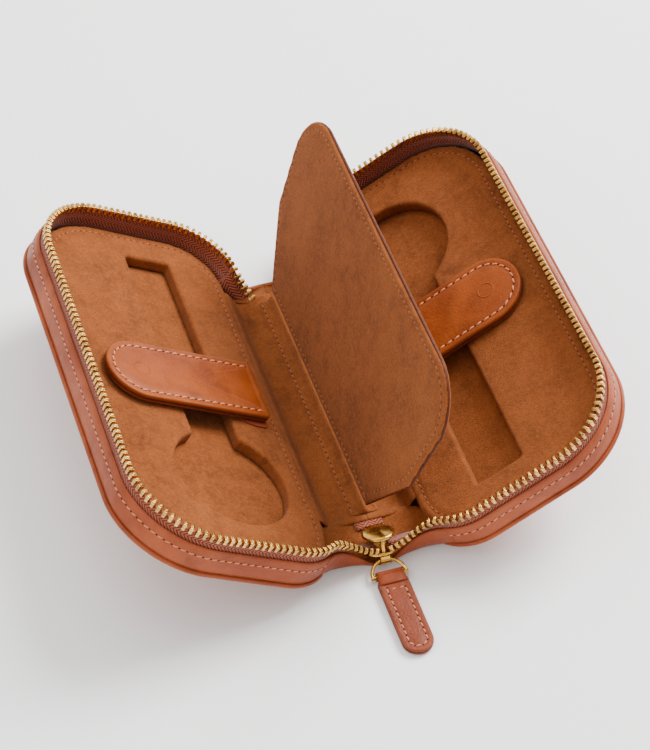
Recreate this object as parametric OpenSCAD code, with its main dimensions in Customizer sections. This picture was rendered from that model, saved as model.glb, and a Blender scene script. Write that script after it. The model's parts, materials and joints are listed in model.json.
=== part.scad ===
// Zip-around case for two watches: two padded trays on a leather spine,
// a divider page between them, a hold-down strap over each tray.
// Millimetres. X across the spine, Y along it, Z up from the spine's underside.

/* [Case] */
// Length of a tray along the spine
case_l = 168; // [150:1:190]
// Width of a tray, fold to fore-edge
tray_w = 84; // [70:1:100]
// Depth of one tray, back panel to the middle of the zip
tray_d = 18.4; // [16:0.2:26]
// Angle of each tray above the flat-open position
open_a = 30; // [0:1:80]
// Corner radius at the fore-edge
fore_r = 29; // [20:1:36]
// Corner radius at the spine
spine_r = 21.4; // [14:0.2:28]
// Distance from the fold to the wall at the spine
edge = 2.6; // [1:0.2:6]
// Half the length of the flat spine
spine_half = 58; // [50:1:62]

/* [Shell] */
// Thickness of the back leather
leather_t = 1.4; // [1:0.1:2]
// How far the turned edge of the back stands past the wall
lip = 2; // [1:0.1:3]
// Height of the leather wall above the underside of the back
wall_top = 11.6; // [9:0.1:15]

/* [Zip] */
// Distance from one tooth to the next
pitch = 2.5; // [2:0.1:3.5]
// Length of a tooth across the tape
tooth_w = 2.4; // [2:0.1:4]
// Half of the gap between the two rows when closed
row_gap = 0.8; // [0.7:0.1:1.5]
// Thickness of the woven tape
tape_t = 0.8; // [0.5:0.1:1]
// Radius of the slider's plates
slider_r = 5.8; // [5:0.1:6.4]
// Where the slider rests on the corner of the zip, in degrees
slider_a = 24; // [20:1:26]
// Where the firm wall starts on that corner, in degrees
wall_a = 42; // [35:1:60]

/* [Insert] */
// Height of the padded insert above the underside of the back
pad_top = 8.8; // [7:0.1:10]
// Radius of the recess for a watch head
head_r = 22; // [18:0.5:25]
// Width of the recess for a watch band
band_w = 18.8; // [16:0.2:24]
// Centre line of the recess, from the fold
recess_x = 35.5; // [30:0.5:44]
// Centre of the head recess, from the middle of the tray
head_y = 44; // [36:1:50]
// Far end of the band recess, from the middle of the tray
band_end = 68.6; // [60:0.2:74]

/* [Strap] */
// Width of the hold-down strap
strap_w = 28; // [20:1:34]
// Tip of the strap, from the fold
strap_tip = 74; // [66:1:78]

/* [Divider] */
// Reach of the divider page from its fold
page_l = 76; // [60:1:78]
// Half the length of the page at its widest
page_half = 78.5; // [70:0.5:79]
// Lean of the page above the right-hand side
page_a = 71; // [40:1:120]

/* [Pull] */
// Length of the leather pull tab
tab_l = 34.5; // [24:0.5:40]
// Width of the leather pull tab
tab_w = 11; // [8:0.5:14]

/* [Hidden] */
$fn = 96;

half_l = case_l / 2;
fold_z = 1.8;
fold_x = tray_d - fold_z;
arc_x = edge + spine_r;
board_t = 1.2;
deck_z = leather_t + board_t;
deck_t = 0.8;
lining_t = 0.5;
suede_t = 0.6;
floor_z = deck_z + deck_t + lining_t;
tooth_h = 2.2;
teeth_z = tray_d - row_gap - tooth_h;
row_in = tape_t / 2;
leather = [0.62, 0.30, 0.17];
leather_in = [0.52, 0.26, 0.15];
suede = [0.63, 0.36, 0.17];
suede_dark = [0.52, 0.29, 0.14];
board = [0.42, 0.36, 0.28];
foam = [0.36, 0.34, 0.32];
woven = [0.40, 0.19, 0.12];
brass = [0.72, 0.55, 0.27];

strap_z = 11.6;
strap_x = 13.2;
strap_t = 1.6;
snap_x = 62;

page_z = 6;
page_r = 1.7;
core_t = 1;

run_y = -half_l + spine_r;
run_z = fold_z + arc_x;
run_r = spine_r - row_in;
channel_in = 2.5;
channel_out = 2.1;
plate_in = 1;
plate_out = 1.2;
lug_t = 4.5;
lug_n = 4.9;
ring_r = 6;
wire_r = 0.7;
hang_y = run_y - (run_r + lug_n) * sin(slider_a) - lug_t * cos(slider_a);
hang_z = run_z - (run_r + lug_n) * cos(slider_a) + lug_t * sin(slider_a);
tab_z = 2.05;
tab_y = hang_y - sqrt(pow(ring_r, 2) - pow(hang_z - tab_z, 2));
tab_a = 1;
tab_t = 1.3;

// Arc lengths of the zip path: spine corner, end run, fore corner, fore-edge.
arc_s = 90 * PI / 180 * (spine_r - row_in);
arc_f = 90 * PI / 180 * (fore_r - row_in);
run_end = tray_w - arc_x - fore_r;
run_fore = case_l - 2 * fore_r;
run_all = 2 * arc_s + 2 * run_end + 2 * arc_f + run_fore;
teeth = floor(run_all / pitch);
first_tooth = ceil(arc_s * (wall_a + 3) / 90 * teeth / run_all);

// Where distance s along one half of the zip path lies: [x, y, heading].
function on_spine_arc(s) =
  let (a = 180 / PI * s / (spine_r - row_in), r = spine_r - row_in)
  [arc_x - r * cos(a), -half_l + spine_r - r * sin(a), a - 90];
function on_fore_arc(s) =
  let (a = 180 / PI * s / (fore_r - row_in), r = fore_r - row_in)
  [tray_w - fore_r + r * sin(a), -half_l + fore_r - r * cos(a), a];
function near_path(s) =
  s < arc_s ? on_spine_arc(s) :
  s < arc_s + run_end ? [arc_x + s - arc_s, -half_l + row_in, 0] :
  s < arc_s + run_end + arc_f ? on_fore_arc(s - arc_s - run_end) :
  [tray_w - row_in, -half_l + fore_r + s - arc_s - run_end - arc_f, 90];
function flip_y(p) = [p[0], -p[1], 180 - p[2]];
function zip_path(s) = s < run_all / 2 ? near_path(s) : flip_y(near_path(run_all - s));

// Outline of a tray, moved inward by g.
module plan(g) {
  rs = spine_r - g;
  rf = fore_r - g;
  polygon([
    [arc_x, -half_l + g], [tray_w - fore_r, -half_l + g],
    [tray_w - g, -half_l + fore_r], [tray_w - g, half_l - fore_r],
    [tray_w - fore_r, half_l - g], [arc_x, half_l - g],
    [edge + g, half_l - spine_r], [edge + g, -half_l + spine_r]
  ]);
  for (k = [-1, 1]) {
    translate([arc_x, k * (half_l - spine_r)])
      circle(rs);
    translate([tray_w - fore_r, k * (half_l - fore_r)])
      circle(rf);
  }
}

// A flat layer of a tray between heights z0 and z1, starting at x0 from the fold.
module layer(g, z0, z1, x0) {
  translate([0, 0, z0])
    linear_extrude(z1 - z0)
      intersection() {
        plan(g);
        translate([x0, -case_l])
          square([2 * tray_w, 2 * case_l]);
      }
}

// A wall that follows the outline. It stays open along the spine, and
// from there to where the zip slider holds the soft end of the tape.
module wall(g_out, g_in, z0, z1) {
  near_y = spine_r - half_l;
  far_y = half_l - spine_r - 1;
  reach = 2 * spine_r;
  translate([0, 0, z0])
    linear_extrude(z1 - z0)
      difference() {
        plan(g_out);
        plan(g_in);
        polygon([
          [arc_x, near_y],
          [arc_x - reach * cos(wall_a), near_y - reach * sin(wall_a)],
          [-reach, near_y - reach * sin(wall_a)],
          [-reach, far_y],
          [arc_x, far_y]
        ]);
      }
}

// Keyhole recess: round for the watch head, straight for its band.
module keyhole(side) {
  translate([recess_x, side * head_y])
    circle(head_r);
  translate([recess_x - band_w / 2, side > 0 ? -band_end : -head_y])
    square([band_w, band_end + head_y]);
}

// Sets a tray at its opening angle; side 1 is the right tray, -1 the left.
module place(side) {
  mirror([side < 0 ? 1 : 0, 0, 0])
    translate([fold_x, 0, fold_z])
      rotate([0, -open_a, 0])
        translate([0, 0, -fold_z])
          children();
}

module back_leather(side) {
  color(leather)
    place(side)
      union() {
        layer(-lip, 0, leather_t, 0.5);
        translate([0, spine_half, fold_z])
          rotate([90, 0, 0])
            cylinder(r = fold_z, h = 2 * spine_half);
      }
}

module back_board(side) {
  color(board)
    place(side)
      layer(0.2, leather_t, deck_z, 2.2);
}

module gusset(side) {
  color(leather)
    place(side)
      wall(-1.1, 0, leather_t, wall_top);
}

module zip_tape(side) {
  color(woven)
    place(side)
      wall(0, tape_t, deck_z + 1.2, teeth_z);
}

module zip_teeth(side) {
  color(brass)
    place(side)
      for (k = [first_tooth : teeth - 1]) {
        p = zip_path((k + 0.5) * run_all / teeth);
        translate([p[0], p[1], teeth_z + tooth_h / 2])
          rotate([0, 0, p[2]])
            cube([1.3, tooth_w, tooth_h], center = true);
      }
}

module insert_board(side) {
  color(board)
    place(side)
      layer(1, deck_z, deck_z + deck_t, 2.2);
}

module recess_lining(side) {
  color(suede_dark)
    place(side)
      layer(1.6, deck_z + deck_t, floor_z, 2.2);
}

// A layer of the insert with the keyhole cut through it.
module cut_layer(side, z0, z1) {
  difference() {
    layer(2, z0, z1, 2.2);
    translate([0, 0, z0 - 1])
      linear_extrude(z1 - z0 + 2)
        keyhole(side);
  }
}

module insert_foam(side) {
  color(foam)
    place(side)
      cut_layer(side, floor_z, pad_top - suede_t);
}

module insert_suede(side) {
  color(suede)
    place(side)
      cut_layer(side, pad_top - suede_t, pad_top);
}

module strap_base(side) {
  color(leather_in)
    place(side)
      translate([11.6, -18, pad_top])
        cube([13.9, 36, 0.8]);
}

module snap_stud(side) {
  color(brass)
    place(side)
      translate([snap_x, 0, pad_top])
        union() {
          cylinder(r = 5, h = 0.5);
          cylinder(r = 2, h = 1.9);
        }
}

// Outline of a strap from x0 to its round tip.
module strap_plan(x0) {
  translate([x0, -strap_w / 2])
    square([strap_tip - strap_w / 2 - x0, strap_w]);
  translate([strap_tip - strap_w / 2, 0])
    circle(strap_w / 2);
}

module strap_top(side) {
  color(leather)
    place(side)
      union() {
        translate([0, 0, strap_z - 0.2])
          linear_extrude(strap_t + 0.2)
            strap_plan(strap_x);
        translate([strap_x, strap_w / 2, strap_z])
          rotate([90, 0, 0])
            cylinder(r = strap_t, h = strap_w);
      }
}

module strap_lining(side) {
  color(leather_in)
    place(side)
      difference() {
        translate([0, 0, strap_z - strap_t])
          linear_extrude(strap_t - 0.2)
            strap_plan(strap_x + strap_t);
        translate([snap_x, 0, strap_z - 2 * strap_t])
          cylinder(r = 2.5, h = 6);
      }
}

module snap_socket(side) {
  color(brass)
    place(side)
      translate([snap_x, 0, strap_z - strap_t - 0.3])
        difference() {
          cylinder(r = 5, h = 0.3);
          translate([0, 0, -1])
            cylinder(r = 2.5, h = 3);
        }
}

module spine_layer(half_x, half_y, z0, z1) {
  translate([-half_x, -half_y, z0])
    cube([2 * half_x, 2 * half_y, z1 - z0]);
}

module spine_leather() {
  color(leather)
    spine_layer(fold_x - fold_z - 0.4, spine_half, 0, leather_t);
}

module spine_board() {
  color(board)
    spine_layer(13.4, spine_half - 1, leather_t, leather_t + 1);
}

module spine_lining() {
  color(suede)
    spine_layer(13.8, spine_half, leather_t + 1, leather_t + 1.8);
}

// Sewn-down end of the zip tape, behind the slider.
module zip_tail() {
  color(woven)
    translate([-5, -spine_half - 4, leather_t + 1.8])
      cube([10, 5.6, 0.8]);
}

module divider_flange() {
  color(suede)
    spine_layer(5, spine_half - 2, leather_t + 1.8, leather_t + 2.6);
}

// Outline of the divider page, its fold along Y at x = 0.
module page_plan(x0) {
  r = 20;
  polygon([
    [x0, -56], [30, -74.5], [page_l - r, -page_half], [page_l - r, page_half],
    [30, 74.5], [x0, 56]
  ]);
  translate([page_l - 2 * r, -page_half + r])
    square([2 * r, 2 * page_half - 2 * r]);
  for (k = [-1, 1])
    translate([page_l - r, k * (page_half - r)])
      circle(r);
}

module place_page() {
  translate([0, 0, page_z])
    rotate([0, -page_a, 0])
      children();
}

module divider_core() {
  color(board)
    place_page()
      union() {
        translate([0, 0, -core_t / 2])
          linear_extrude(core_t)
            page_plan(0);
        translate([0, 56, 0])
          rotate([90, 0, 0])
            cylinder(r = page_r, h = 112);
      }
}

module divider_front() {
  color(suede)
    place_page()
      translate([0, 0, core_t / 2])
        linear_extrude(page_r - core_t / 2)
          page_plan(page_r + 0.1);
}

module divider_back() {
  color(suede)
    place_page()
      translate([0, 0, -page_r])
        linear_extrude(page_r - core_t / 2)
          page_plan(page_r + 0.1);
}

// Sets a part of the slider on the corner of the zip: X across,
// Y forward along the zip, Z out towards the pull.
module place_slider() {
  translate([0, run_y, run_z])
    rotate([180 - slider_a, 0, 0])
      translate([0, 0, run_r])
        children();
}

// Outline of a slider plate.
module slider_face() {
  circle(slider_r);
  translate([-3.6, -6.4])
    square([7.2, 6.4]);
}

module slider_body() {
  color(brass)
    place_slider()
      union() {
        translate([0, 0, channel_out])
          linear_extrude(plate_out)
            slider_face();
        translate([0, 0, -channel_in - plate_in])
          linear_extrude(plate_in)
            slider_face();
        translate([-0.5, 2.4, -channel_in - 0.5])
          cube([1, 2.6, channel_in + channel_out + 1]);
        intersection() {
          translate([0, 0, 17.5 - channel_in - plate_in - 0.7])
            sphere(17.5);
          translate([0, 0, -channel_in - plate_in - 3])
            cylinder(r = slider_r, h = 3.5);
        }
      }
}

module slider_bail() {
  color(brass)
    place_slider()
      difference() {
        union() {
          translate([-1.6, lug_t, lug_n])
            rotate([0, 90, 0])
              cylinder(r = 1.6, h = 3.2);
          translate([-1.6, lug_t - 1.5, channel_out + plate_out])
            cube([3.2, 3, 1]);
        }
        translate([-3, lug_t, lug_n])
          rotate([0, 90, 0])
            cylinder(r = 1.05, h = 6);
      }
}

// Sets the pull below the slider: X across, Y outward along the pull, Z up.
module place_pull() {
  translate([0, tab_y, tab_z])
    rotate([-tab_a, 0, 180])
      children();
}

module pull_ring() {
  color(brass)
    translate([0, tab_y, tab_z])
      rotate([asin((hang_z - tab_z) / ring_r), 0, 0])
        union() {
          rotate_extrude(angle = 180)
            translate([ring_r, 0])
              circle(wire_r - 0.05);
          translate([-ring_r - 0.7, 0, 0])
            rotate([0, 90, 0])
              cylinder(r = wire_r, h = 2 * ring_r + 1.4);
        }
}

module tab_plan(y0) {
  translate([-tab_w / 2, y0])
    square([tab_w, tab_l - tab_w / 2 - y0]);
  translate([0, tab_l - tab_w / 2])
    circle(tab_w / 2);
}

module pull_tab_front() {
  color(leather)
    place_pull()
      difference() {
        union() {
          linear_extrude(tab_t)
            tab_plan(2.6);
          translate([-4.8, 0, 0])
            cube([9.6, 4, tab_t]);
          translate([-4.8, 0, 0])
            rotate([0, 90, 0])
              cylinder(r = 2, h = 9.6);
        }
        translate([-10, 0, 0])
          rotate([0, 90, 0])
            cylinder(r = wire_r + 0.35, h = 20);
      }
}

module pull_tab_back() {
  color(leather_in)
    place_pull()
      translate([0, 0, -tab_t])
        linear_extrude(tab_t)
          tab_plan(2.6);
}

spine_leather();
spine_board();
spine_lining();
zip_tail();
divider_flange();
back_leather(-1);  // left_back_leather
back_board(-1);  // left_back_board
gusset(-1);  // left_gusset
zip_tape(-1);  // left_zip_tape
zip_teeth(-1);  // left_zip_teeth
insert_board(-1);  // left_insert_board
recess_lining(-1);  // left_recess_lining
insert_foam(-1);  // left_insert_foam
insert_suede(-1);  // left_insert_suede
strap_base(-1);  // left_strap_base
snap_stud(-1);  // left_snap_stud
back_leather(1);  // right_back_leather
back_board(1);  // right_back_board
gusset(1);  // right_gusset
zip_tape(1);  // right_zip_tape
zip_teeth(1);  // right_zip_teeth
insert_board(1);  // right_insert_board
recess_lining(1);  // right_recess_lining
insert_foam(1);  // right_insert_foam
insert_suede(1);  // right_insert_suede
strap_base(1);  // right_strap_base
snap_stud(1);  // right_snap_stud
strap_top(-1);  // left_strap_top
strap_lining(-1);  // left_strap_lining
snap_socket(-1);  // left_snap_socket
strap_top(1);  // right_strap_top
strap_lining(1);  // right_strap_lining
snap_socket(1);  // right_snap_socket
divider_core();
divider_front();
divider_back();
slider_body();
slider_bail();
pull_ring();
pull_tab_front();
pull_tab_back();
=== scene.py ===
import json
import math

import bmesh
import bpy
import numpy as np
from mathutils import Matrix, Vector
from mathutils.bvhtree import BVHTree


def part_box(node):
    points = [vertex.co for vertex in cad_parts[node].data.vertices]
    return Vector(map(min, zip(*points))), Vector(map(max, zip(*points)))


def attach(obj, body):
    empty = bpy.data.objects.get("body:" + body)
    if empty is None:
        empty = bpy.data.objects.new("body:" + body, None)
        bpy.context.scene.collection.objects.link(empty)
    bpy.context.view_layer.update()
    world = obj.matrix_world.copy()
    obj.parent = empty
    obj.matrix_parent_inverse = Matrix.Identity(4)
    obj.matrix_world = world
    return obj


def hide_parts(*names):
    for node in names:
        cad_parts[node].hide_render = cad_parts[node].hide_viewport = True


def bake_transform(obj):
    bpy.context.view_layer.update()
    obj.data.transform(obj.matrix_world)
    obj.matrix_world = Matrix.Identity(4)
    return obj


# Looks of a zip-around travel case for two watches. Shapes are worked out in
# millimetres and turned into metres when a mesh is made.
MM = 0.001

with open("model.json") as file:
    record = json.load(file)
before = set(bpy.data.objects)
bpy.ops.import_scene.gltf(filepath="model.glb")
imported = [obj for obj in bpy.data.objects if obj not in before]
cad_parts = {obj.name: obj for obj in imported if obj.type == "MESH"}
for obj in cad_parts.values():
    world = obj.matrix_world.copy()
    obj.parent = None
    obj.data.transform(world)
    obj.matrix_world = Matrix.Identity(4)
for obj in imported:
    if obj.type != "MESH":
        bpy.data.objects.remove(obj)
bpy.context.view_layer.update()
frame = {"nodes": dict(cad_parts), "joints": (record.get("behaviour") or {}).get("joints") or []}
joints = {j["name"]: j for j in frame["joints"]}

# ---------------------------------------------------------------- dimensions
FOLD_X = joints["right_fold"]["pos_m"][0] / MM
FOLD_Z = joints["right_fold"]["pos_m"][2] / MM
OPEN_A = math.radians(joints["right_fold"]["range_deg"][1])
# Trays: half length, width, corners, and heights over the back's underside.
HALF_L = 84.0
TRAY_W = 84.0
FORE_R = 29.0
SPINE_R = 21.4
EDGE = 2.6
ARC_X = EDGE + SPINE_R
WALL_TOP = 11.6
TEETH_Z = 15.4
FLOOR_Z = 3.9
PAD_TOP = 8.8
# Keyhole recess.
HEAD_R = 22.0
BAND_W = 18.8
RECESS_X = 35.5
HEAD_Y = 44.0
BAND_END = 68.6
# Straps, spine and page.
STRAP_W = 28.0
STRAP_ROOT = 13.2
STRAP_TIP = 74.0
STRAP_Z = 11.6
SPINE_HALF = 58.0
PAGE_Z = 6.0
PAGE_A = math.radians(71)
PAGE_L = 76.0
PAGE_HALF = 78.5
PAGE_CORNER = 20.0
PAGE_FOOT = (2.0, 56.0)
PAGE_KNEE = (30.0, 74.5)
# Zip, pull tab and slider.
PITCH = 2.5
TAB_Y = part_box("pull_tab_front")[1].y / MM - 2.0
TAB_Z = 2.05
TAB_L = 34.5
TAB_W = 11.0
SLIDER_A = math.radians(24)
RUN_Y = joints["slider_run"]["pos_m"][1] / MM
RUN_Z = joints["slider_run"]["pos_m"][2] / MM
RUN_R = 21.0


# ------------------------------------------------------------------- placing
def turned(p, x0, z0, angle):
    """Points (reach, y, height) of a flap hinged at (x0, z0), in the frame."""
    p = np.asarray(p, float)
    reach, height = p[..., 0], p[..., 2]
    x = x0 + reach * math.cos(angle) - height * math.sin(angle)
    z = z0 + reach * math.sin(angle) + height * math.cos(angle)
    return np.stack([x, p[..., 1], z], -1)


def tray(side, p):
    """Points (from the fold, y, height over the back) of a tray, in the frame."""
    p = np.asarray(p, float) - np.array([0, 0, FOLD_Z])
    return turned(p, FOLD_X, FOLD_Z, OPEN_A) * np.array([side, 1, 1])


def tray_way(side, x, y, z):
    """A direction of a tray, in the frame."""
    return tray(side, np.array([x, y, z])) - tray(side, np.array([0, 0, 0.0]))


def page(p):
    """Points (from the page's fold, y, height over its middle), in the frame."""
    return turned(p, 0.0, PAGE_Z, PAGE_A)


def tab(p):
    """Points (x, outward along the tab, height) of the pull tab, in the frame."""
    p = np.asarray(p, float)
    slope = math.radians(1)
    out, up = p[..., 1], p[..., 2]
    y = TAB_Y - out * math.cos(slope) - up * math.sin(slope)
    z = TAB_Z - out * math.sin(slope) + up * math.cos(slope)
    return np.stack([-p[..., 0], y, z], -1)


# ------------------------------------------------------------------ outlines
def arc(cx, cy, r, a0, a1, step=1.2):
    """Points and inward normals of an arc, angles in degrees."""
    n = max(3, int(abs(math.radians(a1 - a0)) * r / step))
    a = np.radians(np.linspace(a0, a1, n))
    out = np.stack([np.cos(a), np.sin(a)], -1)
    return np.array([cx, cy]) + r * out, -out


def straight(p, q, inward, step=1.2):
    n = max(2, int(math.dist(p, q) / step))
    t = np.linspace(0, 1, n)[:, None]
    return np.array(p) * (1 - t) + np.array(q) * t, np.tile(np.array(inward, float), (n, 1))


def joined(*runs):
    """Runs of (points, normals) end to end, without doubled points."""
    pts = np.concatenate([r[0] for r in runs])
    nrm = np.concatenate([r[1] for r in runs])
    keep = np.r_[True, np.linalg.norm(np.diff(pts, axis=0), axis=1) > 0.05]
    return pts[keep], nrm[keep]


def rim(near_a=0.0, far_a=0.0):
    """Mouth line of a tray, from its near spine corner round to the far one.
    The angles say how far each spine corner is left out, in degrees."""
    cy = HALF_L - SPINE_R
    fy = HALF_L - FORE_R
    fx = TRAY_W - FORE_R
    return joined(
        arc(ARC_X, -cy, SPINE_R, 180 + near_a, 270),
        straight((ARC_X, -HALF_L), (fx, -HALF_L), (0, 1)),
        arc(fx, -fy, FORE_R, 270, 360),
        straight((TRAY_W, -fy), (TRAY_W, fy), (-1, 0)),
        arc(fx, fy, FORE_R, 0, 90),
        straight((fx, HALF_L), (ARC_X, HALF_L), (0, -1)),
        arc(ARC_X, cy, SPINE_R, 90, 180 - far_a),
    )


def tray_outline():
    """The whole closed outline of a tray."""
    cy = HALF_L - SPINE_R
    run = rim()
    return closed(joined(run, straight((EDGE, cy), (EDGE, -cy), (1, 0))))


def closed(run):
    """Drops the last point where it repeats the first."""
    pts, nrm = run
    if np.linalg.norm(pts[0] - pts[-1]) < 0.05:
        return pts[:-1], nrm[:-1]
    return run


def stadium(x0, x1, half, corner=1.2):
    """A strap's outline: square root with small corners, round tip."""
    tip = x1 - half
    return closed(joined(
        straight((x0 + corner, -half), (tip, -half), (0, 1)),
        arc(tip, 0, half, -90, 90),
        straight((tip, half), (x0 + corner, half), (0, -1)),
        arc(x0 + corner, half - corner, corner, 90, 180, 0.4),
        straight((x0, half - corner), (x0, corner - half), (1, 0)),
        arc(x0 + corner, corner - half, corner, 180, 270, 0.4),
    ))


def keyhole(side, grow=0.0):
    """Outline of the recess: round for the watch head, straight for the band."""
    r = HEAD_R + grow
    half = BAND_W / 2 + grow
    end = BAND_END + grow
    a = math.degrees(math.asin(half / r))
    c = 1.2
    run = joined(
        arc(0, HEAD_Y, r, -90 + a, 270 - a),
        straight((-half, HEAD_Y - r * math.cos(math.radians(a))), (-half, c - end), (1, 0)),
        arc(c - half, c - end, c, 180, 270, 0.6),
        straight((c - half, -end), (half - c, -end), (0, 1)),
        arc(half - c, c - end, c, 270, 360, 0.6),
        straight((half, c - end), (half, HEAD_Y - r * math.cos(math.radians(a))), (-1, 0)),
    )
    pts, nrm = closed(run)
    flip = np.array([1, side])
    return pts * flip + np.array([RECESS_X, 0]), nrm * flip


def page_outline(grow=0.0):
    """Outline of the divider page: splayed from its foot, round outer corners."""
    foot, foot_half = PAGE_FOOT
    knee, knee_half = PAGE_KNEE
    r = PAGE_CORNER
    x = PAGE_L - r
    y = PAGE_HALF - r
    slope_a = np.array([knee - foot, knee_half - foot_half])
    slope_b = np.array([x - knee, PAGE_HALF - knee_half])
    na = np.array([slope_a[1], -slope_a[0]]) / np.linalg.norm(slope_a)
    nb = np.array([slope_b[1], -slope_b[0]]) / np.linalg.norm(slope_b)
    flip = np.array([1, -1])
    run = joined(
        straight((foot, -foot_half), (knee, -knee_half), na * flip),
        straight((knee, -knee_half), (x, -PAGE_HALF), nb * flip),
        arc(x, -y, r, 270, 360),
        straight((PAGE_L, -y), (PAGE_L, y), (-1, 0)),
        arc(x, y, r, 0, 90),
        straight((x, PAGE_HALF), (knee, knee_half), nb),
        straight((knee, knee_half), (foot, foot_half), na),
        straight((foot, foot_half), (foot, -foot_half), (1, 0)),
    )
    pts, nrm = closed(run)
    return pts - grow * nrm, nrm


# --------------------------------------------------------------------- lines
def lengths(line):
    """Length along a polyline at each of its points."""
    return np.r_[0, np.cumsum(np.linalg.norm(np.diff(line, axis=0), axis=1))]


def sampled(s, d, values):
    """Values given at the lengths d, read at the lengths s."""
    return np.stack([np.interp(s, d, column) for column in values.T], -1)


def unit(rows):
    """Each row at length 1."""
    return rows / np.linalg.norm(rows, axis=1, keepdims=True)


def square_to(rows, way):
    """Each row turned square to a direction, at length 1."""
    return unit(rows - (rows * way).sum(1, keepdims=True) * way)


def finer(loop):
    """A closed loop with two more points in each gap."""
    return np.concatenate([loop + (np.roll(loop, -1, 0) - loop) * k for k in (0, 0.33, 0.66)])


# -------------------------------------------------------------------- meshes
def placed(name, data):
    """A new object with this data, linked to the scene."""
    obj = bpy.data.objects.new(name, data)
    bpy.context.scene.collection.objects.link(obj)
    return obj


def piece(name, verts, faces, material, body, stands_for=(), uv=None, fix=True):
    """A mesh object from points in millimetres, riding on a body."""
    data = bpy.data.meshes.new(name)
    data.from_pydata((np.asarray(verts, float) * MM).tolist(), [], faces)
    if uv is not None:
        layer = data.uv_layers.new(name="UVMap")
        order = np.zeros(len(data.loops), int)
        data.loops.foreach_get("vertex_index", order)
        layer.data.foreach_set("uv", np.asarray(uv, float)[order].ravel())
    obj = placed(name, data)
    if fix:
        face_outward(data)
    data.polygons.foreach_set("use_smooth", [True] * len(data.polygons))
    data.materials.append(material)
    if body:
        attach(obj, body)
    if stands_for:
        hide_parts(*stands_for)
    return obj


def face_outward(data):
    bm = bmesh.new()
    bm.from_mesh(data)
    bmesh.ops.recalc_face_normals(bm, faces=bm.faces)
    bm.to_mesh(data)
    bm.free()


def grid_faces(rows, cols, wrap_rows=False, wrap_cols=False):
    """Quads of a grid of points, row by row."""
    faces = []
    for i in range(rows if wrap_rows else rows - 1):
        for j in range(cols if wrap_cols else cols - 1):
            k = (i + 1) % rows
            m = (j + 1) % cols
            faces.append((i * cols + j, i * cols + m, k * cols + m, k * cols + j))
    return faces


def end_caps(rows, cols):
    """Two faces that close the first and last ring of a grid."""
    return [tuple(range(cols)), tuple((rows - 1) * cols + j for j in range(cols))]


def swept(path, profile, shape):
    """Points and faces of a closed profile (inset, height) along an open path.
    shape turns local points into frame points. Also gives (along, round) in mm."""
    pts, nrm = path
    profile = np.asarray(profile, float)
    rows, cols = len(pts), len(profile)
    flat = pts[:, None, :] + profile[None, :, :1] * nrm[:, None, :]
    high = np.broadcast_to(profile[None, :, 1:], (rows, cols, 1))
    verts = shape(np.concatenate([flat, high], -1)).reshape(-1, 3)
    faces = grid_faces(rows, cols, wrap_cols=True) + end_caps(rows, cols)
    uv = np.stack([np.repeat(lengths(pts), cols), np.tile(profile[:, 1], rows)], -1)
    return verts, faces, uv


def lofted(run, profile, shape, inner=(0.85, 0.6, 0.3), crown=(0.0, 0.0)):
    """A closed slab: the outline's loops at each (inset, height) of the profile,
    then smaller loops towards the middle of both faces, crowned by a few tenths."""
    pts, nrm = run
    n = len(pts)
    middle = np.array([(pts[:, 0].min() + pts[:, 0].max()) / 2, (pts[:, 1].min() + pts[:, 1].max()) / 2])
    loops = []
    first, last = profile[0], profile[-1]

    low_xy, high_xy = pts.min(0), pts.max(0)

    def inset_by(g):
        """The outline moved in by g. It cannot leave its own shrunk box."""
        return np.clip(pts + g * nrm, low_xy + g, high_xy - g)

    def shrunk(edge, lift, k):
        flat = middle + (inset_by(edge[0]) - middle) * k
        return np.column_stack([flat, np.full(n, edge[1] + lift * (1 - k * k))])

    for k in reversed(inner):
        loops.append(shrunk(first, crown[0], k))
    for g, z in profile:
        loops.append(np.column_stack([inset_by(g), np.full(n, z)]))
    for k in inner:
        loops.append(shrunk(last, crown[1], k))
    low = np.array([*middle, first[1] + crown[0]])
    top = np.array([*middle, last[1] + crown[1]])
    verts = shape(np.concatenate([*loops, low[None], top[None]]))
    faces = grid_faces(len(loops), n, wrap_cols=True)
    base = (len(loops) - 1) * n
    for j in range(n):
        k = (j + 1) % n
        faces.append((len(verts) - 2, k, j))
        faces.append((len(verts) - 1, base + j, base + k))
    return verts, faces


def slab(name, run, profile, shape, material, body, slot=None, stands_for=(), **loft):
    """A lofted slab as a piece."""
    verts, faces = lofted(run, profile, shape, **loft)
    return piece(name, verts, faces, material, body, stands_for)


def rounded(z0, z1, r, inset=0.0, steps=5):
    """Profile of a slab's edge between two heights, rounded by r."""
    a = np.linspace(-90, 90, 2 * steps + 1)
    mid = []
    for d in np.radians(a):
        centre = z0 + r if d < 0 else z1 - r
        mid.append((inset + r - r * math.cos(d), centre + r * math.sin(d)))
    return mid


def stamped(template, faces, origins, axes):
    """Copies of a small mesh at each origin, with its x, y and z along three axes."""
    n = len(template)
    verts = origins[:, None, :] + np.einsum("vk,mkc->mvc", template, axes)
    all_faces = []
    for m in range(len(origins)):
        all_faces.extend(tuple(i + m * n for i in f) for f in faces)
    return verts.reshape(-1, 3), all_faces


def along_line(line, spacing):
    """Points and directions at even spacing along a polyline."""
    d = lengths(line)
    count = max(2, int(round(d[-1] / spacing)))
    s = (np.arange(count) + 0.5) * d[-1] / count
    ahead = sampled(np.minimum(s + 0.3, d[-1]), d, line)
    behind = sampled(np.maximum(s - 0.3, 0), d, line)
    return sampled(s, d, line), unit(ahead - behind), s / d[-1]


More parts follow.
